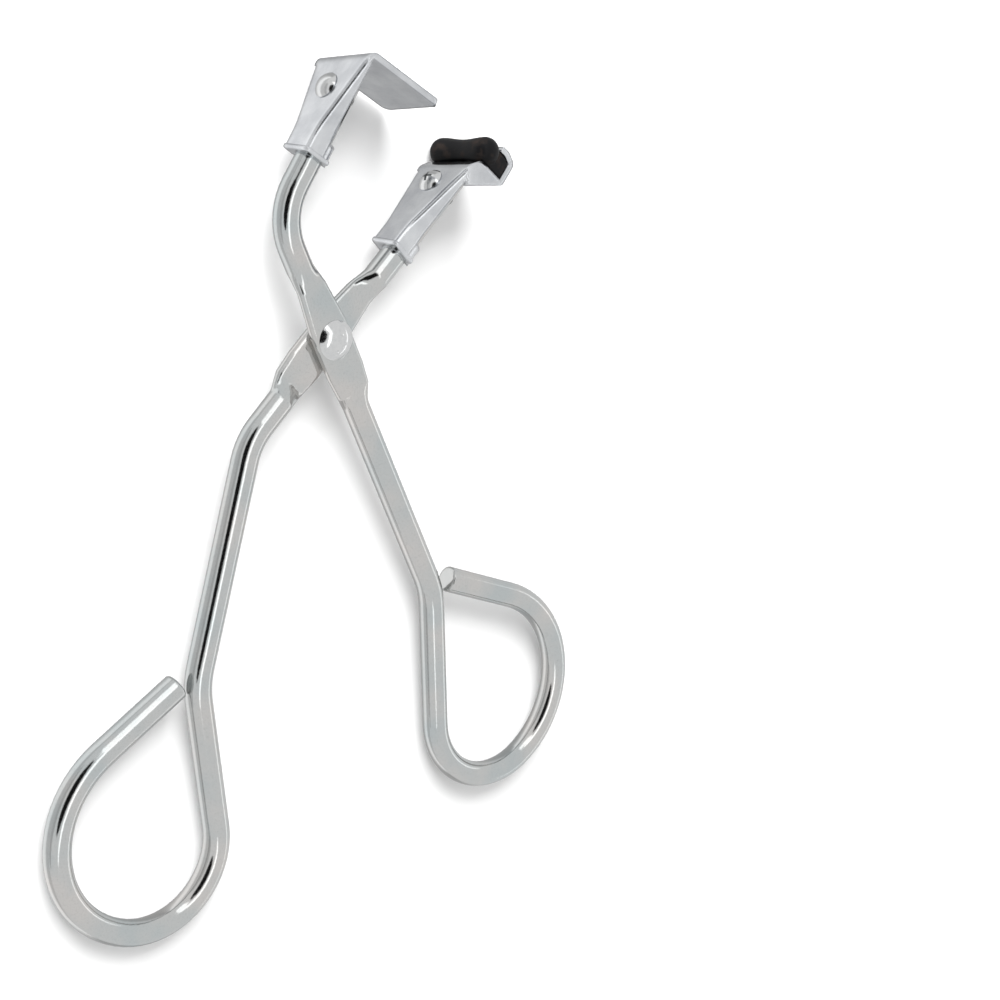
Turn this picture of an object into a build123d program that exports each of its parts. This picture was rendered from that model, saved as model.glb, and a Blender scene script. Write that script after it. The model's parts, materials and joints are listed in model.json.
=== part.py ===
from build123d import *
import os
from math import cos, radians, sin, tan

# Scissor tongs for a small crucible or dish, bent from round plated wire.
# Two wire arms cross at a rivet. Each has a finger loop at one end and a stamped sheet
# bracket at the other: one bracket ends in a flat support plate, the other in a trough
# that holds a rubber pad. The drawing lies in the XY plane about the pivot axis, which is
# Z: +Y runs from the finger loops to the jaws, and the rivet head faces +Z. On export the
# assembly is moved so that its origin is the bottom centre of its box.

# Wire and sheet
WIRE_R = 3.0                 # radius of the arm wire
SHEET = 1.3                  # thickness of the bracket sheet
END_CHAMFER = 0.4            # on the cut ends of the wire

# Pivot
FLAT_T = 2.8                 # thickness of each pressed flat
FLAT_GAP = 0.05              # from each flat to the plane between the arms
FLAT_REACH = 17.5            # from the pivot to the round wire, each way
# Sections of the flat: distance towards the jaw and width, or None for the round wire
FLAT_STATIONS = [
    (-FLAT_REACH, None),
    (-13.0, 8.6),
    (-8.0, 9.6),
    (3.0, 9.6),
    (13.0, 7.2),
    (FLAT_REACH, None),
]
PIVOT_R = 2.0                # rivet shank
PIVOT_CLEAR = 0.06           # running clearance round the shank
PIVOT_HEAD_R = 4.4
PIVOT_HEAD_H = 2.2
PIVOT_TAIL_R = 3.6
PIVOT_TAIL_H = 1.5

# Directions of the arms, in degrees from +X, from the pivot towards the jaws
PLATE_ARM_ANGLE = 117.1
PAD_ARM_ANGLE = 45.5

# Handles: both arms end in the same bent loop, mirrored
PAD_HANDLE_KINK = 28.9       # pivot to the corner of the pad arm's extra bend
PAD_HANDLE_KINK_TURN = 31.0
PAD_HANDLE_KINK_R = 15.0
PAD_HANDLE_RUN = 53.6        # from that corner to the corner of the neck bend
PLATE_HANDLE_RUN = 68.9      # pivot to the corner of the neck bend
NECK_TURN = 22.4
NECK_R = 20.0
LOOP_SIDE = 29.8             # straight side of the finger loop
LOOP_BOTTOM_R = 17.5
LOOP_BOTTOM_TURN = 117.4
LOOP_BACK_R = 23.4
LOOP_BACK_TURN = 128.6
LOOP_END = 21.5              # straight end that returns to the neck

# Jaw ends of the wire
PLATE_JAW_CORNER = 29.9      # pivot to the corner of the plate arm's jaw bend
PLATE_JAW_ANGLE = 58.6       # direction of the wire after that bend
PLATE_JAW_R = 14.0
PLATE_BRACKET_AT = 14.0      # from that corner to the foot of the bracket
PAD_BRACKET_AT = 24.5        # from the pivot to the foot of the bracket
PLATE_WIRE_IN = 18.6         # wire inside the bracket
PAD_WIRE_IN = 23.2

# Brackets: u runs along the wire from the bracket's foot, v out of the web's face
WEB_V = WIRE_R + SHEET       # outer face of the web
COLLAR = 4.4                 # length of the crimped collar
COLLAR_R = 3.9               # outside it, where crimping has thinned the sheet
COLLAR_GAP = 3.2             # opening at the back of the collar
FOLD_CANT = 7.0              # the folds at the jaws run this far off square to the wire
FLARE_AT = 5.5               # where the web starts to widen
FLARE_R = 15.0
EDGE_R = 1.0                 # rounding between web and flange
INSIDE_OVERRUN = 1.0         # the cut for the channel's inside passes its ends by this much
FLANGE_FOOT_V = -0.3         # back edge of the flange at the collar
FLANGE_TOP_V = 2.6           # and at the top of the web

PLATE_HALF = 8.6             # half the width of the support plate
PLATE_TOP = 23.4             # foot of the bracket to the plate's outer face
PLATE_REACH = 21.8           # web's outer face to the plate's tip
PLATE_TILT = 2.5             # the plate opens by this much past a right angle
PLATE_BEND_R = 1.5           # at the middle of the sheet
PLATE_CORNER_R = 1.8
PLATE_RIVET_AT = 15.2
PLATE_CANT_AT = 27.5         # the plate's cant turns about this u

PAD_HALF = 8.0               # half the width of the trough
PAD_WEB_TOP = 21.5           # where the web ends and the hump starts
PAD_SCREW_AT = 18.2
PAD_CANT_AT = 29.3           # the trough's cant turns about this u
# Fold of the trough at the middle of the sheet: over the hump, down, out, and up the lip
TROUGH_CORNERS = [
    (PAD_WEB_TOP, WEB_V - SHEET / 2),
    (22.8, WEB_V - SHEET / 2),
    (25.4, 2.1),
    (26.35, -5.5),
    (32.1, -5.2),
    (32.85, -2.6),
    (32.45, -0.7),
]
TROUGH_RADII = [2.0, 1.2, 0.9, 0.9, 2.0]
# The flange fills the corner between the web and the trough
GUSSET_CORNERS = [(19.2, 1.9), (21.5, 3.6), (24.4, 2.5), (25.8, 0.0), (26.3, -5.3), (25.8, -5.2)]

# Rubber pad: a waisted roller above a tail that fills the trough
ROLLER_U = 29.3
ROLLER_V = 1.9
ROLLER_R = 3.2
ROLLER_WAIST_R = 2.75
ROLLER_HALF = 9.4            # half the roller's length
ROLLER_EDGE_R = 2.2          # rounding of its ends
TAIL_CORNERS = [(26.3, 1.0), (27.0, -4.8), (31.3, -4.5), (31.9, -2.6), (31.6, -0.7), (31.0, 1.6)]

# Bracket fasteners
SHANK_R = 1.6
HEAD_R = 3.3
HEAD_H = 1.5
SEAT_V = -2.4                # spot face on the back of the wire
SEAT_HALF = 3.2
TAIL_R = 1.95
TAIL_H = 0.5
RECESS_L = 3.6               # cross recess in the screw head
RECESS_W = 0.8
RECESS_D = 0.8


def direction(angle):
    """Unit vector in the XY plane."""
    return Vector(cos(radians(angle)), sin(radians(angle)))


def tangent_length(radius, turn):
    """From the corner of a bend to where its arc begins."""
    return radius * tan(radians(turn) / 2)


def jaw_plane(foot, angle):
    """Plane at a bracket's foot: x is u, y is v, and z stays the pivot axis."""
    return Plane(origin=(foot.X, foot.Y, 0), x_dir=direction(angle), z_dir=(0, 0, 1))


def canted_plane(jaw, middle):
    """Jaw plane turned about v by the cant of the folds, at the point u = middle."""
    x_dir = jaw.x_dir.rotate(Axis(jaw.origin, jaw.y_dir), FOLD_CANT)
    z_dir = jaw.z_dir.rotate(Axis(jaw.origin, jaw.y_dir), FOLD_CANT)
    centre = jaw.from_local_coords((middle, 0, 0))
    return Plane(origin=centre - x_dir * middle, x_dir=x_dir, z_dir=z_dir)


def web_plane(jaw, v):
    """Plane that faces out of the web, at height v."""
    return Plane(origin=jaw.from_local_coords((0, v, 0)), x_dir=jaw.x_dir, z_dir=jaw.y_dir)


def round_wire(start, heading, path):
    """The wire's round section swept along a path, with its far end chamfered."""
    with BuildPart() as wire:
        with BuildSketch(Plane(origin=start, z_dir=heading)):
            Circle(WIRE_R)
        sweep(path=path)
        cut_end = wire.faces().filter_by(GeomType.PLANE).sort_by_distance(start)[-1]
        chamfer(cut_end.edges(), END_CHAMFER)
    return wire.part


def handle(angle, side, kink=None):
    """Handle wire from the flat to the end of its finger loop; side is +1 or -1."""
    start = direction(angle) * FLAT_REACH
    neck_lead = tangent_length(NECK_R, NECK_TURN)
    with BuildLine() as path:
        if kink:
            lead = tangent_length(PAD_HANDLE_KINK_R, PAD_HANDLE_KINK_TURN)
            run = PolarLine(start, kink - lead - FLAT_REACH, angle)
            bend = JernArc(run @ 1, run % 1, PAD_HANDLE_KINK_R, side * PAD_HANDLE_KINK_TURN)
            run = PolarLine(bend @ 1, PAD_HANDLE_RUN - lead - neck_lead, direction=bend % 1)
        else:
            run = PolarLine(start, PLATE_HANDLE_RUN - neck_lead - FLAT_REACH, angle)
        neck = JernArc(run @ 1, run % 1, NECK_R, side * NECK_TURN)
        loop_side = PolarLine(neck @ 1, LOOP_SIDE, direction=neck % 1)
        bottom = JernArc(loop_side @ 1, loop_side % 1, LOOP_BOTTOM_R, -side * LOOP_BOTTOM_TURN)
        back = JernArc(bottom @ 1, bottom % 1, LOOP_BACK_R, -side * LOOP_BACK_TURN)
        PolarLine(back @ 1, LOOP_END, direction=back % 1)
    return round_wire(start, direction(angle), path.line)


def flat_section(angle, side, reach, width):
    """Section of the flat: round wire, or a slot that keeps to its own side of Z = 0."""
    axis = direction(angle)
    across = direction(angle + 90)
    with BuildSketch(Plane(origin=axis * reach, x_dir=across, z_dir=axis)) as section:
        if width is None:
            Circle(WIRE_R)
        else:
            with Locations((0, side * (FLAT_GAP + FLAT_T / 2))):
                SlotOverall(width, FLAT_T)
    return section.sketch


def pressed_flat(angle, side):
    """The wire pressed flat at the pivot: side +1 lies above the other arm, -1 below."""
    sections = [flat_section(angle, side, reach, width) for reach, width in FLAT_STATIONS]
    with BuildPart() as flat:
        for near, far in zip(sections, sections[1:]):
            loft([near.face(), far.face()], ruled=True)
    return flat.part


def web_outline(jaw, fold, v, half, top, inset=0.0, overrun=0.0):
    """Plan of the web: straight at the collar, then flaring to the canted fold."""
    narrow = WEB_V - inset
    with BuildSketch(web_plane(jaw, v)) as plan:
        with BuildLine():
            edges = []
            for side in (-1, 1):
                corner = jaw.to_local_coords(fold.from_local_coords((top, 0, -side * half)))
                slope = (abs(corner.Z) - WEB_V) / (corner.X - FLARE_AT)
                wide = abs(corner.Z) - inset + slope * overrun
                edges.append(
                    FilletPolyline(
                        (-overrun, side * narrow),
                        (FLARE_AT, side * narrow),
                        (corner.X + overrun, side * wide),
                        radius=FLARE_R,
                    )
                )
            Line(edges[0] @ 0, edges[1] @ 0)
            Line(edges[0] @ 1, edges[1] @ 1)
        make_face()
    return plan.sketch


def channel(jaw, fold, half, top):
    """Web, tapering flanges and crimped collar of a bracket, up to the fold at u = top."""
    out_of_web = Axis(jaw.origin, jaw.y_dir)
    far_top = top + half
    with BuildPart() as pan:
        extrude(web_outline(jaw, fold, WEB_V, half, top), amount=FLANGE_FOOT_V - WEB_V)
        web_edges = pan.faces().sort_by(out_of_web)[-1].edges().filter_by(Axis.Z, reverse=True)
        sides = web_edges.filter_by(Axis(jaw.origin, fold.z_dir), reverse=True)
        fillet(sides, EDGE_R)
        inside = web_outline(jaw, fold, WIRE_R, half, top, SHEET, INSIDE_OVERRUN)
        extrude(inside, amount=-2 * WEB_V, mode=Mode.SUBTRACT)
        with BuildSketch(jaw):
            Polygon(
                (COLLAR, FLANGE_FOOT_V),
                (top, FLANGE_TOP_V),
                (far_top, FLANGE_TOP_V),
                (far_top, -WEB_V),
                (COLLAR, -WEB_V),
                align=None,
            )
        extrude(amount=2 * half, both=True, mode=Mode.SUBTRACT)
        with BuildSketch(Plane(origin=jaw.origin, x_dir=jaw.y_dir, z_dir=jaw.x_dir)):
            Circle(COLLAR_R)
            Circle(WIRE_R, mode=Mode.SUBTRACT)
            with Locations((-WEB_V, 0)):
                Rectangle(WEB_V, COLLAR_GAP, mode=Mode.SUBTRACT)
        extrude(amount=COLLAR)
    return pan.part


def folded_strip(plane, half, corners, radii):
    """Sheet of the bracket's full width, folded along corners given in u and v."""
    points = [plane.from_local_coords((u, v, 0)) for u, v in corners]
    with BuildPart() as strip:
        with BuildLine() as fold:
            FilletPolyline(*points, radius=radii)
        with BuildSketch(Plane(origin=points[0], x_dir=plane.z_dir, z_dir=plane.x_dir)):
            Rectangle(2 * half, SHEET)
        sweep(path=fold.line)
    return strip.part


def hole(plane, radius):
    """Circle for a hole through the part, centred on a plane."""
    with BuildSketch(plane) as ring:
        Circle(radius)
    return ring.sketch


def fastener(jaw, u, recess):
    """Round-headed fastener through web and wire, clinched on the wire's spot face."""
    foot = jaw.from_local_coords((u, 0, 0))
    axis_plane = Plane(origin=foot, x_dir=jaw.x_dir, z_dir=jaw.y_dir)
    with BuildPart() as pin:
        with BuildSketch(axis_plane.offset(SEAT_V)):
            Circle(SHANK_R)
        extrude(amount=WEB_V - SEAT_V)
        with BuildSketch(axis_plane.offset(WEB_V)):
            Circle(HEAD_R)
        extrude(amount=HEAD_H)
        with BuildSketch(axis_plane.offset(SEAT_V)):
            Circle(TAIL_R)
        extrude(amount=-TAIL_H)
        rims = pin.edges().filter_by(GeomType.CIRCLE).sort_by(Axis(foot, jaw.y_dir))
        fillet(rims[-1], 0.75 * HEAD_H)
        fillet(rims[0], 0.6 * TAIL_H)
        if recess:
            with BuildSketch(axis_plane.offset(WEB_V + HEAD_H)):
                Rectangle(RECESS_L, RECESS_W)
                Rectangle(RECESS_W, RECESS_L)
            extrude(amount=-RECESS_D, mode=Mode.SUBTRACT)
    return pin.part


def fastener_plane(jaw, u, v):
    """Plane that faces out of the web, centred on a fastener."""
    return Plane(origin=jaw.from_local_coords((u, v, 0)), x_dir=jaw.x_dir, z_dir=jaw.y_dir)


def wire_seat(jaw, u):
    """What is cut from the wire for a fastener: its hole and the spot face behind it."""
    with BuildPart() as cut:
        extrude(hole(fastener_plane(jaw, u, -WEB_V), SHANK_R), amount=2 * WEB_V)
        with BuildSketch(fastener_plane(jaw, u, SEAT_V)):
            Rectangle(2 * SEAT_HALF, 2 * WEB_V)
        extrude(amount=-WEB_V)
    return cut.part


def roller(plane):
    """Waisted roller of the rubber pad, turned about an axis along the trough."""
    middle = plane.from_local_coords((ROLLER_U, ROLLER_V, 0))
    bulge = ROLLER_HALF - ROLLER_EDGE_R
    flat_r = ROLLER_R - ROLLER_EDGE_R
    with BuildPart() as turned:
        with BuildSketch(Plane(origin=middle, x_dir=plane.y_dir, z_dir=plane.x_dir)):
            with BuildLine():
                ThreePointArc((ROLLER_R, -bulge), (ROLLER_WAIST_R, 0), (ROLLER_R, bulge))
                RadiusArc((ROLLER_R, bulge), (flat_r, ROLLER_HALF), -ROLLER_EDGE_R)
                RadiusArc((ROLLER_R, -bulge), (flat_r, -ROLLER_HALF), ROLLER_EDGE_R)
                Line((flat_r, ROLLER_HALF), (0, ROLLER_HALF))
                Line((0, ROLLER_HALF), (0, -ROLLER_HALF))
                Line((0, -ROLLER_HALF), (flat_r, -ROLLER_HALF))
            make_face()
        revolve(axis=Axis(middle, plane.z_dir))
    return turned.part


def pad_tail(plane):
    """Section of the rubber between the walls of the trough."""
    with BuildSketch(plane.offset(-PAD_HALF)) as section:
        Polygon(*TAIL_CORNERS, align=None)
    return section.sketch


# Where each bracket sits on its wire
plate_corner = direction(PLATE_ARM_ANGLE) * PLATE_JAW_CORNER
plate_foot = plate_corner + direction(PLATE_JAW_ANGLE) * PLATE_BRACKET_AT
plate_jaw = jaw_plane(plate_foot, PLATE_JAW_ANGLE)
plate_fold = canted_plane(plate_jaw, PLATE_CANT_AT)
pad_jaw = jaw_plane(direction(PAD_ARM_ANGLE) * PAD_BRACKET_AT, PAD_ARM_ANGLE)
pad_fold = canted_plane(pad_jaw, PAD_CANT_AT)

# Plate arm: runs from the upper left jaw, over the other arm, to the right finger loop
with BuildPart() as plate_arm:
    add(pressed_flat(PLATE_ARM_ANGLE, +1))
    add(handle(PLATE_ARM_ANGLE + 180, -1))
    with BuildLine() as jaw_path:
        FilletPolyline(
            direction(PLATE_ARM_ANGLE) * FLAT_REACH,
            plate_corner,
            plate_jaw.from_local_coords((PLATE_WIRE_IN, 0, 0)),
            radius=PLATE_JAW_R,
        )
    add(round_wire(jaw_path.line @ 0, direction(PLATE_ARM_ANGLE), jaw_path.line))
    extrude(hole(Plane.XY, PIVOT_R + PIVOT_CLEAR), amount=WIRE_R, both=True, mode=Mode.SUBTRACT)
    add(wire_seat(plate_jaw, PLATE_RIVET_AT), mode=Mode.SUBTRACT)

# Pad arm: runs from the right jaw, under the other arm, to the left finger loop
with BuildPart() as pad_arm:
    add(pressed_flat(PAD_ARM_ANGLE, -1))
    add(handle(PAD_ARM_ANGLE + 180, +1, kink=PAD_HANDLE_KINK))
    with BuildLine() as straight_path:
        Line(direction(PAD_ARM_ANGLE) * FLAT_REACH, pad_jaw.from_local_coords((PAD_WIRE_IN, 0, 0)))
    add(round_wire(straight_path.line @ 0, direction(PAD_ARM_ANGLE), straight_path.line))
    extrude(hole(Plane.XY, PIVOT_R), amount=WIRE_R, both=True, mode=Mode.SUBTRACT)
    add(wire_seat(pad_jaw, PAD_SCREW_AT), mode=Mode.SUBTRACT)

# Pivot rivet: domed head over the plate arm, shank, and a lower dome clinched underneath
with BuildPart() as pivot_rivet:
    top = FLAT_GAP + FLAT_T + FLAT_GAP
    bottom = -FLAT_GAP - FLAT_T
    with BuildSketch(Plane.XZ):
        with BuildLine():
            head_arc = SagittaArc((PIVOT_HEAD_R, top), (-PIVOT_HEAD_R, top), -PIVOT_HEAD_H)
            Line(head_arc @ 0, head_arc @ 1)
        make_face()
        with BuildLine():
            tail_arc = SagittaArc((PIVOT_TAIL_R, bottom), (-PIVOT_TAIL_R, bottom), PIVOT_TAIL_H)
            Line(tail_arc @ 0, tail_arc @ 1)
        make_face()
        with Locations((0, (top + bottom) / 2)):
            Rectangle(2 * PIVOT_R, top - bottom)
        split(bisect_by=Plane.YZ)
    revolve(axis=Axis.Z)

# Plate bracket: the web folds into the flat support plate
with BuildPart() as plate_bracket:
    web_end = PLATE_TOP - SHEET - PLATE_BEND_R
    add(channel(plate_jaw, plate_fold, PLATE_HALF, web_end))
    sheet_v = WEB_V - SHEET / 2
    fold_u = PLATE_TOP - SHEET / 2
    tip_v = WEB_V - PLATE_REACH
    tip_u = fold_u + (sheet_v - tip_v) * tan(radians(PLATE_TILT))
    corners = [(web_end, sheet_v), (fold_u, sheet_v), (tip_u, tip_v)]
    add(folded_strip(plate_fold, PLATE_HALF, corners, PLATE_BEND_R))
    tip = plate_bracket.faces().sort_by(Axis(plate_jaw.origin, plate_jaw.y_dir))[0]
    fillet(tip.edges().filter_by(lambda edge: edge.length < PLATE_HALF), PLATE_CORNER_R)
    extrude(
        hole(fastener_plane(plate_jaw, PLATE_RIVET_AT, WEB_V), SHANK_R),
        amount=-2 * SHEET,
        mode=Mode.SUBTRACT,
    )

# Pad bracket: the web goes over a hump into the trough that holds the pad
with BuildPart() as pad_bracket:
    add(channel(pad_jaw, pad_fold, PAD_HALF, PAD_WEB_TOP))
    trough = folded_strip(pad_fold, PAD_HALF, TROUGH_CORNERS, TROUGH_RADII)
    add(trough)
    for z in (-PAD_HALF, PAD_HALF - SHEET):
        with BuildSketch(pad_fold.offset(z)):
            Polygon(*GUSSET_CORNERS, align=None)
        extrude(amount=SHEET)
    extrude(
        hole(fastener_plane(pad_jaw, PAD_SCREW_AT, WEB_V), SHANK_R),
        amount=-2 * SHEET,
        mode=Mode.SUBTRACT,
    )

plate_rivet = fastener(plate_jaw, PLATE_RIVET_AT, recess=False)
pad_screw = fastener(pad_jaw, PAD_SCREW_AT, recess=True)

# Rubber pad: the roller, and the tail pressed into the trough below it
with BuildPart() as rubber_pad:
    add(roller(pad_fold))
    extrude(pad_tail(pad_fold), amount=2 * PAD_HALF)
    add(trough, mode=Mode.SUBTRACT)

# The tongs lie on their side: the origin is the middle of the box's base
parts = {
    "plate_arm": plate_arm.part,
    "pad_arm": pad_arm.part,
    "pivot_rivet": pivot_rivet.part,
    "plate_bracket": plate_bracket.part,
    "plate_rivet": plate_rivet,
    "pad_bracket": pad_bracket.part,
    "pad_screw": pad_screw,
    "rubber_pad": rubber_pad.part,
}
box = Compound(children=[piece.moved(Location()) for piece in parts.values()]).bounding_box()
base = Vector(box.center().X, box.center().Y, box.min.Z)
os.makedirs("parts", exist_ok=True)
for name, piece in parts.items():
    placed = piece.moved(Location(-base))
    placed.label = name
    export_step(placed, f"parts/{name}.step")
print("pivot axis at", [round(c, 3) for c in (-base)], "box", box.size)
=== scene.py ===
# %% [markdown]
# # Plated wire tongs, dressed for a product shot
#
# The tongs are two lengths of round wire that cross at a rivet. Their shape and their joint
# come from a imported CAD model, and this lesson adds what CAD leaves plain: the bright plating,
# the marks of the rivet set, the cross recess of the screw and the moulded rubber pad.
# First the frame is loaded.

import json
import math

import bpy
from mathutils import Matrix, Vector


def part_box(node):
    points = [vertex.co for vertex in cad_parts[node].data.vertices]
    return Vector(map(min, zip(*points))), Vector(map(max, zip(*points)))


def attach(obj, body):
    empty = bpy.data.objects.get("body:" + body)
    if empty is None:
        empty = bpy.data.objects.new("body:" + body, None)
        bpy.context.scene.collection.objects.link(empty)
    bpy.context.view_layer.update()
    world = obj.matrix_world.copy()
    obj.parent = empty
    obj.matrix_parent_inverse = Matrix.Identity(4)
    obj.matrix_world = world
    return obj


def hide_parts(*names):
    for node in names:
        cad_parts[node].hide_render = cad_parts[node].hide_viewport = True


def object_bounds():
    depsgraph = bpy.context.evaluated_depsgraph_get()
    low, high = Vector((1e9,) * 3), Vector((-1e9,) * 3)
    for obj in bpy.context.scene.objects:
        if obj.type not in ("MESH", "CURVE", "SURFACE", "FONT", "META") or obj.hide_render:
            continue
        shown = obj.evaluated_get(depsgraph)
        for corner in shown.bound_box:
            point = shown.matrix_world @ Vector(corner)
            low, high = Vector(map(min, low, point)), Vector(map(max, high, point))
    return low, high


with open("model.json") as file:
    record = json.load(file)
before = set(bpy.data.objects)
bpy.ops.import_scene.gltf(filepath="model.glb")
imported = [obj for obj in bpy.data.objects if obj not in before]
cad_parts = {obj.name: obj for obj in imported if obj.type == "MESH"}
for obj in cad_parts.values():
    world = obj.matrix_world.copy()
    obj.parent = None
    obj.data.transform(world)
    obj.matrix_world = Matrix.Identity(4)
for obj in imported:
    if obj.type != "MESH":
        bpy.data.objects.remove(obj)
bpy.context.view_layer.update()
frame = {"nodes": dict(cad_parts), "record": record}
nodes = frame["nodes"]
MM = 0.001
pivot = Vector(frame["record"]["behaviour"]["joints"][0]["pos_m"])
print("nodes:", sorted(nodes))
print("pivot at", [round(c / MM, 2) for c in pivot], "mm")

# %% [markdown]
# ## Camera
#
# The tongs lie flat on the table, with the pivot upright. The camera looks down on them and is
# turned so that the jaws come out at the top of the picture. It is aimed at a point that is
# measured from the pivot, so it follows the part if the part's box changes.

# %% Camera
AIM_FROM_PIVOT = Vector((51.63, -42.28, 0)) * MM
CAMERA_DISTANCE = 0.47604  # metres
CAMERA_TURN = [math.radians(angle) for angle in (-15.4827, -40.8733, 3.2742)]
LENS_MM = 72
CLIP_START = 0.01

camera = bpy.data.objects.new("camera", bpy.data.cameras.new("camera"))
camera.data.lens = LENS_MM
camera.data.clip_start = CLIP_START
camera.rotation_euler = CAMERA_TURN
backwards = camera.rotation_euler.to_matrix() @ Vector((0, 0, 1))
camera.location = pivot + AIM_FROM_PIVOT + CAMERA_DISTANCE * backwards
bpy.context.scene.collection.objects.link(camera)
bpy.context.scene.camera = camera
bpy.context.scene.view_settings.view_transform = "Standard"
print("camera at", [round(c, 4) for c in camera.location])

# %% [markdown]
# ## Helpers for modelling
#
# Every new piece is modelled in millimetres about its own axis, as it would be on a lathe, and
# is then put in place with one matrix. Applying that matrix leaves the object at the origin with
# its place in its mesh, like the CAD nodes. An operator works on all that is selected, so each
# step starts by selecting only what it needs.


# %% Selecting and placing
def select_none():
    """Deselects every object."""
    bpy.ops.object.select_all(action="DESELECT")


def only(piece):
    """Selects one object and makes it the active one."""
    select_none()
    piece.select_set(True)
    bpy.context.view_layer.objects.active = piece


def new_piece(name):
    """Names the primitive that was just added and leaves it alone in the selection."""
    piece = bpy.context.object
    piece.name = piece.data.name = name
    only(piece)
    return piece


def apply_modifier(piece, kind, **settings):
    """Adds a modifier, sets it and applies it."""
    only(piece)
    modifier = piece.modifiers.new(kind.title(), kind)
    for key, value in settings.items():
        setattr(modifier, key, value)
    bpy.ops.object.modifier_apply(modifier=modifier.name)


def put(piece, place):
    """Moves a piece that was modelled in millimetres to its place, and applies the move."""
    only(piece)
    piece.matrix_world = place @ piece.matrix_world
    bpy.ops.object.transform_apply(location=True, rotation=True, scale=True)


def count(piece):
    """Says how large a finished piece is."""
    piece.data.calc_loop_triangles()
    size = [round(side / MM, 2) for side in piece.dimensions]
    print(piece.name, len(piece.data.loop_triangles), "triangles,", size, "mm")


# %% [markdown]
# ### Turned pieces
#
# Rivets, screws and the rubber roller are all round. A lathe cuts such a piece from a profile,
# which is a list of heights and radii. Here a disc is extruded from one height to the next and
# resized to the next radius, the same two steps that a hand would repeat in edit mode. A profile
# never ends in a radius of nothing, because a ring with no size can't be resized: it ends in a
# disc too small to see.


# %% Turned pieces
ROUND_STEPS = 72
SMOOTH_ANGLE = 35
DOME_TIP_R = 0.02


def turned(name, profile, smooth_angle=SMOOTH_ANGLE):
    """A closed round piece along +Z from a list of (height, radius) in millimetres."""
    select_none()
    height, radius = profile[0]
    bpy.ops.mesh.primitive_circle_add(
        vertices=ROUND_STEPS, radius=radius, fill_type="NGON", location=(0, 0, height)
    )
    piece = new_piece(name)
    bpy.ops.object.transform_apply(location=True)
    bpy.ops.object.mode_set(mode="EDIT")
    bpy.ops.mesh.select_all(action="SELECT")
    for next_height, next_radius in profile[1:]:
        bpy.ops.mesh.extrude_region_move(
            TRANSFORM_OT_translate={"value": (0, 0, next_height - height)}
        )
        ratio = next_radius / radius
        bpy.ops.transform.resize(value=(ratio, ratio, 1), center_override=(0, 0, next_height))
        height, radius = next_height, next_radius
    bpy.ops.mesh.select_all(action="SELECT")
    bpy.ops.mesh.normals_make_consistent(inside=False)
    bpy.ops.object.mode_set(mode="OBJECT")
    bpy.ops.object.shade_smooth_by_angle(angle=math.radians(smooth_angle))
    return piece


def ball_radius(radius, height):
    """Radius of the ball that a low dome is a cap of."""
    return (radius**2 + height**2) / (2 * abs(height))


def dome(radius, height, base, steps=12):
    """Heights and radii of a low dome that rises from base; a negative height sinks."""
    curve = ball_radius(radius, height)
    reach = math.asin(radius / curve)
    rings = []
    for step in range(steps + 1):
        turn = reach * (1 - step / steps)
        rise = curve * math.cos(turn) - curve * math.cos(reach)
        ring_radius = max(curve * math.sin(turn), DOME_TIP_R)
        rings.append((base + math.copysign(rise, height), ring_radius))
    return rings


print("turned pieces have", ROUND_STEPS, "sides")


# %% [markdown]
# ### Where things sit on a jaw
#
# Each bracket is drawn from its foot on the wire: u runs along the wire, v out of the bracket's
# web, and z along the pivot. The folds at the jaws are canted, so the trough has a second frame
# that is turned about v. The frames are matrices that take millimetres to the part's metres.
# Angles are in degrees, and headings are taken from the part's X axis.

# %% Jaw frames
PAD_ANGLE = 45.5
PAD_FOOT = 24.5
PLATE_ANGLE = 117.1
PLATE_CORNER = 29.9
PLATE_JAW_ANGLE = 58.6
PLATE_FOOT = 14.0
CANT = 7.0
CANT_AT = 29.3
QUARTER = math.radians(90)


def heading(angle):
    """Unit vector in the plane of the tongs."""
    return Vector((math.cos(math.radians(angle)), math.sin(math.radians(angle)), 0))


def jaw_frame(foot, angle):
    """From u, v and z in millimetres to the part's frame in metres."""
    turn = Matrix.Rotation(math.radians(angle), 4, "Z")
    return Matrix.Translation(pivot + foot * MM) @ turn @ Matrix.Scale(MM, 4)


pad_jaw = jaw_frame(heading(PAD_ANGLE) * PAD_FOOT, PAD_ANGLE)
plate_foot = heading(PLATE_ANGLE) * PLATE_CORNER + heading(PLATE_JAW_ANGLE) * PLATE_FOOT
plate_jaw = jaw_frame(plate_foot, PLATE_JAW_ANGLE)
cant_point = Matrix.Translation((CANT_AT, 0, 0))
cant_turn = Matrix.Rotation(math.radians(CANT), 4, "Y")
trough = pad_jaw @ cant_point @ cant_turn @ cant_point.inverted()
out_of_web = Matrix.Rotation(-QUARTER, 4, "X")
print("pad bracket's foot at", [round(c / MM, 1) for c in pad_jaw.translation], "mm")
print("plate bracket's foot at", [round(c / MM, 1) for c in plate_jaw.translation], "mm")

# %% [markdown]
# ## Pivot rivet
#
# The rivet that joins the arms has a low domed head, a straight shank and a smaller dome that is
# clinched underneath. The punch of the riveting machine leaves a few small pits on the head.
# They are cut with little balls and a Boolean, because pits that are real geometry catch the
# light from every side.

# %% Pivot rivet
PIVOT_HEAD_R = 4.4
PIVOT_HEAD_H = 1.85
PIVOT_SHANK_R = 2.0
PIVOT_TAIL_R = 3.6
PIVOT_TAIL_H = 1.5
PIVOT_TOP = 2.9
PIVOT_BOTTOM = -2.85
PIT_RADIUS = 0.55
PIT_DEPTH = 0.1
PITS = [(0.9, -1.4), (0.4, 1.6), (1.6, -0.6), (-0.6, -2.4)]


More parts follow.
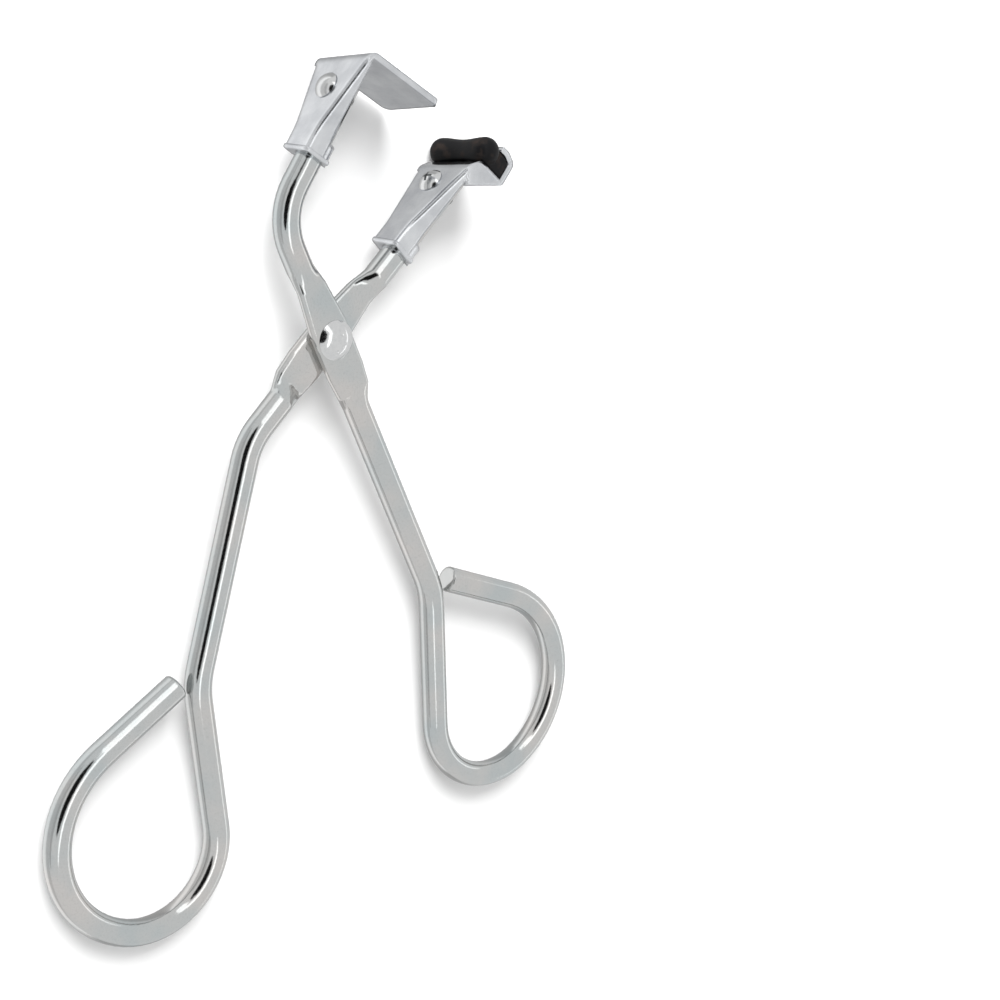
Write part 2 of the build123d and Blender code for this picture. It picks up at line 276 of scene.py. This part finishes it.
def head_height(distance):
    """Height of the head's surface at a distance from the rivet's axis."""
    curve = ball_radius(PIVOT_HEAD_R, PIVOT_HEAD_H)
    return PIVOT_TOP + PIVOT_HEAD_H - curve + math.sqrt(curve**2 - distance**2)


def pitted(piece):
    """Cuts the small round pits into the domed head."""
    for x, y in PITS:
        select_none()
        top = head_height(math.hypot(x, y)) + PIT_RADIUS - PIT_DEPTH
        bpy.ops.mesh.primitive_uv_sphere_add(
            segments=24, ring_count=16, radius=PIT_RADIUS, location=(x, y, top)
        )
        ball = new_piece("ball")
        apply_modifier(piece, "BOOLEAN", operation="DIFFERENCE", object=ball)
        bpy.data.objects.remove(ball)


tail = dome(PIVOT_TAIL_R, -PIVOT_TAIL_H, PIVOT_BOTTOM)
tail.reverse()
head = dome(PIVOT_HEAD_R, PIVOT_HEAD_H, PIVOT_TOP)
shank = [(PIVOT_BOTTOM, PIVOT_SHANK_R), (PIVOT_TOP, PIVOT_SHANK_R)]
pivot_rivet = turned("pivot_rivet_domed", tail + shank + head)
pitted(pivot_rivet)
put(pivot_rivet, Matrix.Translation(pivot) @ Matrix.Scale(MM, 4))
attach(pivot_rivet, "pad_side")
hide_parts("pivot_rivet")
count(pivot_rivet)

# %% [markdown]
# ## Bracket fasteners
#
# Both brackets are pinned through the wire. The plate's bracket has a button-headed rivet, and
# the pad's bracket has a screw with a cross recess, so that a worn pad can be changed. The two
# share one profile: a short wall with a bevelled foot, under a low dome.

# %% Button head profile
SHANK_R = 1.6
HEAD_R = 2.95
HEAD_WALL = 0.25
HEAD_H = 1.75
HEAD_RIM = 0.1
SEAT_V = -2.4
TAIL_R = 1.95
TAIL_H = 0.5
WEB_V = 4.3


def button_profile():
    """Heights and radii from the tail, through wire and web, to the crown of the head."""
    tail = dome(TAIL_R, -TAIL_H, SEAT_V, steps=6)
    tail.reverse()
    shank = [(SEAT_V, SHANK_R), (WEB_V, SHANK_R)]
    rim = [(WEB_V, HEAD_R - HEAD_RIM), (WEB_V + HEAD_RIM, HEAD_R), (WEB_V + HEAD_WALL, HEAD_R)]
    return tail + shank + rim + dome(HEAD_R, HEAD_H - HEAD_WALL, WEB_V + HEAD_WALL)[1:]


print("button heads are", 2 * HEAD_R, "mm wide and", HEAD_H, "mm high")


# %% Plate rivet
PLATE_RIVET_AT = 15.2

plate_rivet = turned("plate_rivet_button", button_profile())
put(plate_rivet, plate_jaw @ Matrix.Translation((PLATE_RIVET_AT, 0, 0)) @ out_of_web)
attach(plate_rivet, "plate_side")
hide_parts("plate_rivet")
count(plate_rivet)

# %% [markdown]
# The screw is the same button with a cross cut into it. The cutter is a bar that narrows towards
# its bottom, because a cross recess does, so that the tip of a screwdriver wedges in it. The bar
# is used twice, the second time turned by a quarter.

# %% Pad screw
PAD_SCREW_AT = 18.2
RECESS_LENGTH = 4.0
RECESS_WIDTH = 0.9
RECESS_DEPTH = 1.1
RECESS_TURN = 20
RECESS_NARROWING = 0.45


def cross_cut(piece, top):
    """Cuts a cross recess into the top of a head."""
    for turn in (RECESS_TURN, RECESS_TURN + 90):
        select_none()
        bpy.ops.mesh.primitive_cube_add(size=1, location=(0, 0, top))
        bar = new_piece("bar")
        bar.scale = (RECESS_LENGTH, RECESS_WIDTH, 2 * RECESS_DEPTH)
        bar.rotation_euler.z = math.radians(turn)
        bpy.ops.object.transform_apply(location=True, rotation=True, scale=True)
        for corner in bar.data.vertices:
            if corner.co.z < top:
                corner.co.x *= RECESS_NARROWING
                corner.co.y *= RECESS_NARROWING
        apply_modifier(piece, "BOOLEAN", operation="DIFFERENCE", object=bar)
        bpy.data.objects.remove(bar)
    only(piece)
    bpy.ops.object.shade_smooth_by_angle(angle=math.radians(SMOOTH_ANGLE))


pad_screw = turned("pad_screw_cross", button_profile())
cross_cut(pad_screw, WEB_V + HEAD_H)
put(pad_screw, pad_jaw @ Matrix.Translation((PAD_SCREW_AT, 0, 0)) @ out_of_web)
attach(pad_screw, "pad_side")
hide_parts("pad_screw")
count(pad_screw)

# %% [markdown]
# ## Mouth of each collar
#
# The sheet is crimped around the wire where a bracket begins, and the crimping tool turns its
# edge out into a thin rolled lip. The lip is a slab with the collar's outline: its corners are
# rounded in edit mode, a Bevel modifier softens all its edges, and the wire's hole is cut
# through it.

# %% Collar lips
LIP_LENGTH = 0.95
LIP_OUT = 0.22
LIP_CORNER_R = 1.0
LIP_EDGE_R = 0.3
LIP_BACK_V = -2.6
LIP_SMOOTH_ANGLE = 40
WIRE_R = 3.0


def collar_lip(name, jaw, body):
    """Rolled lip around the wire at the foot of a bracket."""
    top = WEB_V + LIP_OUT
    select_none()
    bpy.ops.mesh.primitive_cube_add(size=1)
    lip = new_piece(name)
    lip.scale = (LIP_LENGTH, top - LIP_BACK_V, 2 * top)
    lip.location = (LIP_LENGTH / 2, (top + LIP_BACK_V) / 2, 0)
    bpy.ops.object.transform_apply(location=True, rotation=True, scale=True)
    bpy.ops.object.mode_set(mode="EDIT")
    bpy.ops.mesh.select_mode(type="EDGE")
    bpy.ops.mesh.select_all(action="DESELECT")
    bpy.ops.object.mode_set(mode="OBJECT")
    points = lip.data.vertices
    for edge in lip.data.edges:
        start, end = (points[index].co for index in edge.vertices)
        edge.select = abs(start.x - end.x) > LIP_LENGTH / 2
    bpy.ops.object.mode_set(mode="EDIT")
    bpy.ops.mesh.bevel(offset=LIP_CORNER_R, segments=6, affect="EDGES")
    bpy.ops.object.mode_set(mode="OBJECT")
    apply_modifier(lip, "BEVEL", width=LIP_EDGE_R, segments=3, limit_method="ANGLE")
    select_none()
    bpy.ops.mesh.primitive_cylinder_add(
        vertices=ROUND_STEPS, radius=WIRE_R, depth=4 * LIP_LENGTH, rotation=(0, QUARTER, 0)
    )
    wire_hole = new_piece("wire_hole")
    apply_modifier(lip, "BOOLEAN", operation="DIFFERENCE", object=wire_hole)
    bpy.data.objects.remove(wire_hole)
    only(lip)
    bpy.ops.object.shade_smooth_by_angle(angle=math.radians(LIP_SMOOTH_ANGLE))
    put(lip, jaw)
    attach(lip, body)
    count(lip)
    return lip


plate_lip = collar_lip("plate_collar_lip", plate_jaw, "plate_side")
pad_lip = collar_lip("pad_collar_lip", pad_jaw, "pad_side")

# %% [markdown]
# ## Rubber pad
#
# The pad is one moulding: a roller with a waist, which grips the dish, and a tail that is pressed
# into the trough. The roller is turned from a profile whose radius follows a cosine from waist
# to bulge and a blunt rounded cap at each end. The tail is a slab between the trough's walls. The
# two are joined and remeshed into one skin, and a little smoothing gives the soft shoulders that
# a mould gives.

# %% Rubber roller
ROLLER_U = 29.3
ROLLER_V = 1.9
ROLLER_R = 3.2
ROLLER_WAIST_R = 2.72
ROLLER_HALF = 9.35
ROLLER_END = 2.7
ROLLER_STEPS = 20
ROLLER_SMOOTH_ANGLE = 60
CAP_STEPS = 10
CAP_BLUNTNESS = 0.8
CAP_TIP_R = 0.05


def roller_profile():
    """Heights and radii of the waisted roller."""
    bulge = ROLLER_HALF - ROLLER_END
    middle = (ROLLER_R + ROLLER_WAIST_R) / 2
    swell = (ROLLER_R - ROLLER_WAIST_R) / 2
    rings = []
    for step in range(-ROLLER_STEPS, ROLLER_STEPS + 1):
        along = step / ROLLER_STEPS
        rings.append((along * bulge, middle - swell * math.cos(math.pi * along)))
    cap = []
    for step in range(1, CAP_STEPS + 1):
        turn = math.pi / 2 * step / CAP_STEPS
        radius = max(ROLLER_R * math.cos(turn) ** CAP_BLUNTNESS, CAP_TIP_R)
        cap.append((bulge + ROLLER_END * math.sin(turn), radius))
    foot = [(-height, radius) for height, radius in reversed(cap)]
    return foot + rings + cap


roller = turned("rubber_pad_moulded", roller_profile(), ROLLER_SMOOTH_ANGLE)
roller.matrix_world = Matrix.Translation((ROLLER_U, ROLLER_V, 0))
bpy.ops.object.transform_apply(location=True)
print("roller is", [round(side, 2) for side in roller.dimensions], "mm")

# %% Rubber tail
TAIL_HALF = 7.9
TAIL_CORNERS = [
    (26.5, 1.2), (27.15, -4.6), (31.2, -4.35), (31.75, -2.6), (31.5, -0.7), (30.9, 1.6)
]
RUBBER_VOXEL = 0.22
RUBBER_SMOOTHING = 4

select_none()
bpy.ops.mesh.primitive_circle_add(vertices=len(TAIL_CORNERS), fill_type="NGON")
tail_slab = new_piece("tail_slab")
for corner, (u, v) in zip(tail_slab.data.vertices, TAIL_CORNERS):
    corner.co = (u, v, -TAIL_HALF)
bpy.ops.object.mode_set(mode="EDIT")
bpy.ops.mesh.select_all(action="SELECT")
bpy.ops.mesh.extrude_region_move(TRANSFORM_OT_translate={"value": (0, 0, 2 * TAIL_HALF)})
bpy.ops.mesh.select_all(action="SELECT")
bpy.ops.mesh.normals_make_consistent(inside=False)
bpy.ops.object.mode_set(mode="OBJECT")

only(roller)
tail_slab.select_set(True)
bpy.ops.object.join()
rubber_pad = new_piece("rubber_pad_moulded")
apply_modifier(rubber_pad, "REMESH", mode="VOXEL", voxel_size=RUBBER_VOXEL)
apply_modifier(rubber_pad, "SMOOTH", factor=0.5, iterations=RUBBER_SMOOTHING)
bpy.ops.object.shade_smooth()
put(rubber_pad, trough)
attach(rubber_pad, "pad_side")
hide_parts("rubber_pad")
count(rubber_pad)

# %% [markdown]
# ## Shader maths
#
# A finish is easier to read as an expression than as a web of nodes. The small class below wraps
# one output of a node, and its operators add the Math nodes that scale and add up numbers. Each
# operator has its reflected form, so that a plain number may come first.


# %% Amounts
class Amount:
    """One output of a node; what it gives may vary over a surface."""

    def __init__(self, finish, socket):
        self.finish = finish
        self.socket = socket

    def _math(self, operation, first, second):
        return self.finish.node("Math", {"operation": operation}, {0: first, 1: second})

    def __add__(self, other):
        return self._math("ADD", self, other)

    def __radd__(self, other):
        return self._math("ADD", other, self)

    def __mul__(self, other):
        return self._math("MULTIPLY", self, other)

    def __rmul__(self, other):
        return self._math("MULTIPLY", other, self)


# %% [markdown]
# Every other node comes from one method, which sets the node's settings first and then its
# sockets. The rest of the class gives plain names to the nodes that these finishes share: cloudy
# patterns, ramps, colour mixes, soft edges and relief. All patterns read Object coordinates,
# because every piece keeps its place in its mesh.


# %% Finishes
BEVEL_SAMPLES = 8


class Finish:
    """A material that is built node by node."""

    def __init__(self, name):
        self.material = bpy.data.materials.new(name)
        self.material.use_nodes = True
        self.tree = self.material.node_tree
        self.shader = self.tree.nodes["Principled BSDF"]
        self.place = self.node("TexCoord", output="Object")

    def node(self, kind, settings=None, values=None, output=0):
        """Adds a node: its settings first, then the values or links of its sockets."""
        made = self.tree.nodes.new("ShaderNode" + kind)
        for key, value in (settings or {}).items():
            if key == "stops":
                self.set_stops(made.color_ramp, value)
            else:
                setattr(made, key, value)
        for socket, value in (values or {}).items():
            self.feed(made.inputs[socket], value)
        return Amount(self, made.outputs[output])

    def set_stops(self, ramp, stops):
        """Replaces the stops of a colour ramp by pairs of place and grey value."""
        while len(ramp.elements) > 1:
            ramp.elements.remove(ramp.elements[-1])
        for index, (place, grey) in enumerate(stops):
            stop = ramp.elements[0] if index == 0 else ramp.elements.new(place)
            stop.position = place
            stop.color = (grey, grey, grey, 1)

    def feed(self, socket, value):
        """Links an amount to a socket, or sets the socket to a plain value."""
        if isinstance(value, Amount):
            self.tree.links.new(value.socket, socket)
        else:
            socket.default_value = value

    def noise(self, size_mm, detail=2.0, stretch=None):
        """Cloudy pattern, 0 to 1, with features of about the given size."""
        place = self.place
        if stretch:
            place = self.node("Mapping", values={"Vector": place, "Scale": stretch})
        values = {"Vector": place, "Scale": 1 / (size_mm * MM), "Detail": detail}
        return self.node("TexNoise", values=values)

    def ramp(self, amount, *stops):
        """Bends a number through a colour ramp."""
        return self.node("ValToRGB", {"stops": stops}, {"Fac": amount})

    def mix(self, amount, first, second):
        """Colour between two colours."""
        return self.node(
            "Mix", {"data_type": "RGBA"}, {0: amount, 6: first, 7: second}, output=2
        )

    def soft_edges(self, radius_mm):
        """Normal that rounds the sharp edges of a mesh."""
        return self.node("Bevel", {"samples": BEVEL_SAMPLES}, {"Radius": radius_mm * MM})

    def bump(self, height, depth_mm, strength=1.0, below=None):
        """Surface relief; below is the coarser relief or the normal that it lies on."""
        values = {"Height": height, "Distance": depth_mm * MM, "Strength": strength}
        if below:
            values["Normal"] = below
        return self.node("Bump", values=values)

    def set(self, **sockets):
        """Feeds the shader's sockets; base_color stands for Base Color."""
        for name, value in sockets.items():
            self.feed(self.shader.inputs[name.replace("_", " ").title()], value)


def colour(red, green, blue):
    """Colour with full alpha."""
    return (red, green, blue, 1)


# %% [markdown]
# ## Plated wire
#
# The wire is drawn steel with a bright chrome plate. Chrome reflects a little over half of the
# light, slightly cool. Its colour drifts very slightly from place to place where the plate is
# thinner. Cloudy patches and tiny dull specks blur the reflections a little, and the plate itself
# is not quite flat, so straight reflections come out softly waved. A metal shows all of this
# through its roughness and its relief more than through its colour.

# %% Plated wire finish
CHROME_COOL = colour(0.53, 0.565, 0.57)
CHROME_WARM = colour(0.63, 0.615, 0.60)
CHROME_SPECK = colour(0.35, 0.36, 0.36)
WIRE_EDGE_MM = 0.8
WIRE_WAVE_MM = 2.2
WIRE_WAVE_DEPTH_MM = 0.02
WIRE_GRAIN_MM = 0.3
WIRE_GRAIN_DEPTH_MM = 0.0012


def plated_wire():
    """Bright plate over drawn wire."""
    finish = Finish("plated_wire")
    drift = finish.ramp(finish.noise(14, detail=3), (0.35, 0), (0.65, 1))
    tint = finish.mix(drift, CHROME_COOL, CHROME_WARM)
    cloud = finish.noise(4, detail=4)
    specks = finish.ramp(finish.noise(0.5, detail=3), (0.5, 0), (0.75, 1))
    shade = finish.mix(specks * 0.14, tint, CHROME_SPECK)
    roughness = 0.06 + 0.07 * cloud + 0.05 * specks
    wave = finish.noise(WIRE_WAVE_MM, detail=2)
    waves = finish.bump(wave, WIRE_WAVE_DEPTH_MM, below=finish.soft_edges(WIRE_EDGE_MM))
    grain = finish.noise(WIRE_GRAIN_MM, detail=2)
    skin = finish.bump(grain, WIRE_GRAIN_DEPTH_MM, below=waves)
    finish.set(base_color=shade, metallic=1.0, roughness=roughness, normal=skin)
    return finish.material


wire_finish = plated_wire()
print("made", wire_finish.name)

# %% [markdown]
# ## Plated sheet
#
# The brackets are stamped from rolled sheet before they are plated. Rolling leaves a fine grain,
# so their flats are more satin than the wire, and the stamping die leaves faint rubs. The grain
# is a noise whose pattern is drawn out along Z, across the bracket.

# %% Plated sheet finish
SHEET_LIGHT = colour(0.75, 0.765, 0.785)
SHEET_DARK = colour(0.60, 0.615, 0.64)
SHEET_EDGE_MM = 1.5
SHEET_WAVE_MM = 3
SHEET_WAVE_DEPTH_MM = 0.03
SHEET_GRAIN_MM = 0.5
SHEET_GRAIN_STRETCH = (1, 1, 0.08)
SHEET_GRAIN_DEPTH_MM = 0.0015


def plated_sheet():
    """Satin plate over stamped sheet."""
    finish = Finish("plated_sheet")
    drift = finish.ramp(finish.noise(6, detail=4), (0.35, 0), (0.7, 1))
    tint = finish.mix(drift, SHEET_DARK, SHEET_LIGHT)
    grain = finish.noise(SHEET_GRAIN_MM, detail=3, stretch=SHEET_GRAIN_STRETCH)
    rubs = finish.ramp(finish.noise(1.3, detail=5), (0.6, 0), (0.72, 1))
    roughness = 0.10 + 0.10 * grain + 0.10 * rubs
    wave = finish.noise(SHEET_WAVE_MM, detail=2)
    waves = finish.bump(wave, SHEET_WAVE_DEPTH_MM, below=finish.soft_edges(SHEET_EDGE_MM))
    skin = finish.bump(grain, SHEET_GRAIN_DEPTH_MM, below=waves)
    finish.set(base_color=tint, metallic=1.0, roughness=roughness, normal=skin)
    return finish.material


sheet_finish = plated_sheet()
print("made", sheet_finish.name)

# %% [markdown]
# ## Rivet heads
#
# Rivets are plated too, but their heads are struck after plating. The tool leaves a slightly
# mottled, burnished surface. One noise drives colour, roughness and relief together, because on
# the metal all three come from the same dents.

# %% Rivet finish
RIVET_DARK = colour(0.62, 0.63, 0.64)
RIVET_LIGHT = colour(0.76, 0.765, 0.76)
DENT_MM = 0.8
DENT_DEPTH_MM = 0.016


def struck_head():
    """Plate that was burnished by the riveting tool."""
    finish = Finish("struck_head")
    mottle = finish.noise(DENT_MM, detail=3)
    tint = finish.mix(mottle, RIVET_DARK, RIVET_LIGHT)
    roughness = 0.08 + 0.10 * mottle
    dents = finish.bump(mottle, DENT_DEPTH_MM)
    finish.set(base_color=tint, metallic=1.0, roughness=roughness, normal=dents)
    return finish.material


rivet_finish = struck_head()
print("made", rivet_finish.name)

# %% [markdown]
# ## Rubber
#
# Black moulded rubber is nearly black with a low, broad sheen. Handling leaves dull brown scuffs
# here and there, and a fine grain comes from the mould. The sheen is kept low on the shader's own
# specular socket, because a pale room would otherwise turn the black to grey.

# %% Rubber finish
RUBBER_BLACK = colour(0.004, 0.004, 0.0045)
RUBBER_SCUFF = colour(0.045, 0.032, 0.026)
RUBBER_SHEEN = 0.12
RUBBER_PORE_MM = 0.5
RUBBER_PORE_DEPTH_MM = 0.02


def moulded_rubber():
    """Black rubber with brown scuffs."""
    finish = Finish("moulded_rubber")
    scuffs = finish.ramp(finish.noise(2.4, detail=5), (0.52, 0), (0.68, 1))
    dust = finish.noise(RUBBER_PORE_MM, detail=4)
    shade = finish.mix(scuffs * 0.35, RUBBER_BLACK, RUBBER_SCUFF)
    roughness = 0.34 + 0.22 * scuffs + 0.12 * dust
    pores = finish.bump(dust, RUBBER_PORE_DEPTH_MM, strength=0.6)
    finish.set(base_color=shade, roughness=roughness, normal=pores)
    finish.feed(finish.shader.inputs["Specular IOR Level"], RUBBER_SHEEN)
    return finish.material


rubber_finish = moulded_rubber()
print("made", rubber_finish.name)

# %% [markdown]
# ## Dressing the pieces
#
# The CAD nodes keep their meshes and only change their material. The new pieces get theirs in
# the same way.

# %% Assign the finishes
DRESSES = [
    (wire_finish, [nodes["plate_arm"], nodes["pad_arm"]]),
    (sheet_finish, [nodes["plate_bracket"], nodes["pad_bracket"], plate_lip, pad_lip]),
    (rivet_finish, [pivot_rivet, plate_rivet, pad_screw]),
    (rubber_finish, [rubber_pad]),
]
for finish, pieces in DRESSES:
    for piece in pieces:
        piece.data.materials.clear()
        piece.data.materials.append(finish)
    print(finish.name, "on", [piece.name for piece in pieces])

# %% [markdown]
# ## Floor
#
# The tongs rest on the edge of the plate, the end of the pad and the two finger loops. The loops
# are thinner than the jaws are wide, so the table is a plane with a slight tilt that follows both,
# a tenth of a millimetre below them. It is plain and pale.

# %% Floor
FLOOR_SIZE = 6.0
FLOOR_GAP = 0.0001
FLOOR_DARK = colour(0.84, 0.84, 0.84)
FLOOR_LIGHT = colour(0.87, 0.87, 0.87)

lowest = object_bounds()[0]
loop_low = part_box("pad_arm")[0]
jaw_low, jaw_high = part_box("rubber_pad")
jaw_y = (jaw_low[1] + jaw_high[1]) / 2
floor_rise = (loop_low[2] - lowest[2]) / (loop_low[1] - jaw_y)
select_none()
bpy.ops.mesh.primitive_plane_add(size=FLOOR_SIZE)
floor = new_piece("floor")
floor.rotation_euler.x = math.atan(floor_rise)
floor.location = (0, jaw_y, lowest[2] - FLOOR_GAP)

floor_paint = Finish("floor_paint")
floor_grain = floor_paint.noise(6, detail=3)
floor_paint.set(
    base_color=floor_paint.mix(floor_grain, FLOOR_DARK, FLOOR_LIGHT), roughness=0.9
)
floor.data.materials.append(floor_paint.material)
print("floor tilts by", round(math.degrees(math.atan(floor_rise)), 2), "degrees")

# %% [markdown]
# ## Light
#
# Bright metal shows its surroundings, so lighting it means building what it reflects. The work is
# split in two: soft boxes light the table and the rubber and are hidden from reflections, and
# glowing cards are seen in reflections and light nothing else. Each can then be moved without
# upsetting the other. The room itself is an even pale grey.

# %% Room
ROOM_GREY = 0.6
ROOM_WARMTH = 0.995

world = bpy.data.worlds.new("room")
world.use_nodes = True
room = world.node_tree.nodes["Background"]
room.inputs["Color"].default_value = colour(ROOM_GREY, ROOM_GREY, ROOM_GREY * ROOM_WARMTH)
bpy.context.scene.world = world
print("room grey", ROOM_GREY)

# %% [markdown]
# ### Soft boxes
#
# A light or a card is placed by the direction in which it is seen from the pivot, like a star: an
# azimuth from the X axis and an elevation above the table, in degrees. The key light is large
# and comes from beyond the jaws, so shadows are soft and fall towards the handles. A weak fill
# lifts them.


# %% Soft boxes
SOFT_BOX_DISTANCE = 1.2


def face_pivot(thing, azimuth, elevation, distance):
    """Puts a light or a card in the sky and turns it to face the pivot."""
    turn, rise = math.radians(azimuth), math.radians(elevation)
    flat = math.cos(rise)
    toward = Vector((flat * math.cos(turn), flat * math.sin(turn), math.sin(rise)))
    thing.location = pivot + toward * distance
    thing.rotation_mode = "QUATERNION"
    thing.rotation_quaternion = (thing.location - pivot).to_track_quat("Z", "Y")


def soft_box(name, azimuth, elevation, width, power):
    """Square area light that faces the tongs and is not seen in them."""
    lamp = bpy.data.lights.new(name, "AREA")
    lamp.shape = "RECTANGLE"
    lamp.size = lamp.size_y = width
    lamp.energy = power
    thing = bpy.data.objects.new(name, lamp)
    bpy.context.scene.collection.objects.link(thing)
    thing.visible_camera = thing.visible_glossy = False
    face_pivot(thing, azimuth, elevation, SOFT_BOX_DISTANCE)
    print(name, "of", power, "W at", [round(c, 2) for c in thing.location])


soft_box("key_box", azimuth=105, elevation=32, width=0.95, power=32)
soft_box("fill_box", azimuth=215, elevation=70, width=1.4, power=3)

# %% [markdown]
# ### Cards for reflections
#
# Most reflected lines on the tongs are cards. White cards give the bright lines that run along
# the wire, and a dark one around the camera gives the black lines without which chrome looks
# like paint. The cards are ovals, so that their reflections taper instead of ending square.


# %% Reflected cards
CARD_SIDES = 64
CARD_DISTANCE = 1.0


def glow(finish, light):
    """Makes a finish that only gives off light."""
    finish.set(base_color=colour(0, 0, 0), roughness=1.0)
    finish.feed(finish.shader.inputs["Specular IOR Level"], 0.0)
    finish.feed(finish.shader.inputs["Emission Color"], light)
    finish.feed(finish.shader.inputs["Emission Strength"], 1.0)
    return finish.material


def only_reflected(card):
    """Hides a card from everything but reflections."""
    card.visible_camera = card.visible_shadow = card.visible_diffuse = False


def reflected_card(name, azimuth, elevation, size, brightness, distance=CARD_DISTANCE):
    """Oval card in the sky that is seen only in reflections."""
    select_none()
    bpy.ops.mesh.primitive_circle_add(vertices=CARD_SIDES, radius=0.5, fill_type="NGON")
    card = new_piece(name)
    card.scale = (*size, 1)
    face_pivot(card, azimuth, elevation, distance)
    tone = colour(brightness, brightness, brightness)
    card.data.materials.append(glow(Finish(name + "_glow"), tone))
    only_reflected(card)
    print(name, "at", [round(c, 2) for c in card.location])


reflected_card("camera_gap", azimuth=162, elevation=45, size=(1.0, 0.6), brightness=0.006)
reflected_card("white_card", azimuth=108, elevation=42, size=(0.3, 0.6), brightness=1.7)
reflected_card(
    "left_wall", azimuth=172, elevation=6, size=(2.4, 0.5), brightness=0.55, distance=1.4
)
reflected_card("top_strip", azimuth=165, elevation=76, size=(1.4, 0.22), brightness=2.0)
reflected_card("right_strip", azimuth=345, elevation=20, size=(1.4, 0.12), brightness=1.6)

# %% [markdown]
# ### Dome and under-card
#
# Behind the cards, a large dome gives the metal its even grey. Under the tongs, the table is
# hidden from reflections and a second card stands in for it. A table is lit unevenly by its
# lamps, and the undersides of the wire would show that. The card's brightness is a colour ramp
# along X instead, so the bright and dark lines low on the wire fall where they are wanted.

# %% Dome
DOME_GREY = 0.84
DOME_RADIUS = 4.0

select_none()
bpy.ops.mesh.primitive_uv_sphere_add(segments=48, ring_count=24, radius=DOME_RADIUS)
dome_card = new_piece("dome_card")
bpy.ops.object.shade_smooth()
dome_tone = colour(DOME_GREY, DOME_GREY, DOME_GREY)
dome_card.data.materials.append(glow(Finish("dome_glow"), dome_tone))
only_reflected(dome_card)
print("dome of", DOME_RADIUS, "m")

# %% Under-card
UNDER_DEPTH = 0.3
UNDER_SIZE = 6.0
UNDER_STOPS = [
    (0, 0.62), (0.41, 0.7), (0.44, 1.15), (0.475, 1.15), (0.49, 0.75), (0.51, 0.5), (0.55, 0.5),
    (0.6, 0.78), (1, 0.78)
]

floor.visible_glossy = False
select_none()
bpy.ops.mesh.primitive_plane_add(size=UNDER_SIZE)
under_card = new_piece("under_card")
under_card.location = pivot - Vector((0, 0, UNDER_DEPTH))
under_glow = Finish("under_glow")
across = under_glow.node("SeparateXYZ", values={"Vector": under_glow.place})
band = under_glow.ramp(across * (1 / UNDER_SIZE) + 0.5, *UNDER_STOPS)
under_card.data.materials.append(glow(under_glow, band))
only_reflected(under_card)
print("under-card", UNDER_DEPTH, "m below the pivot")
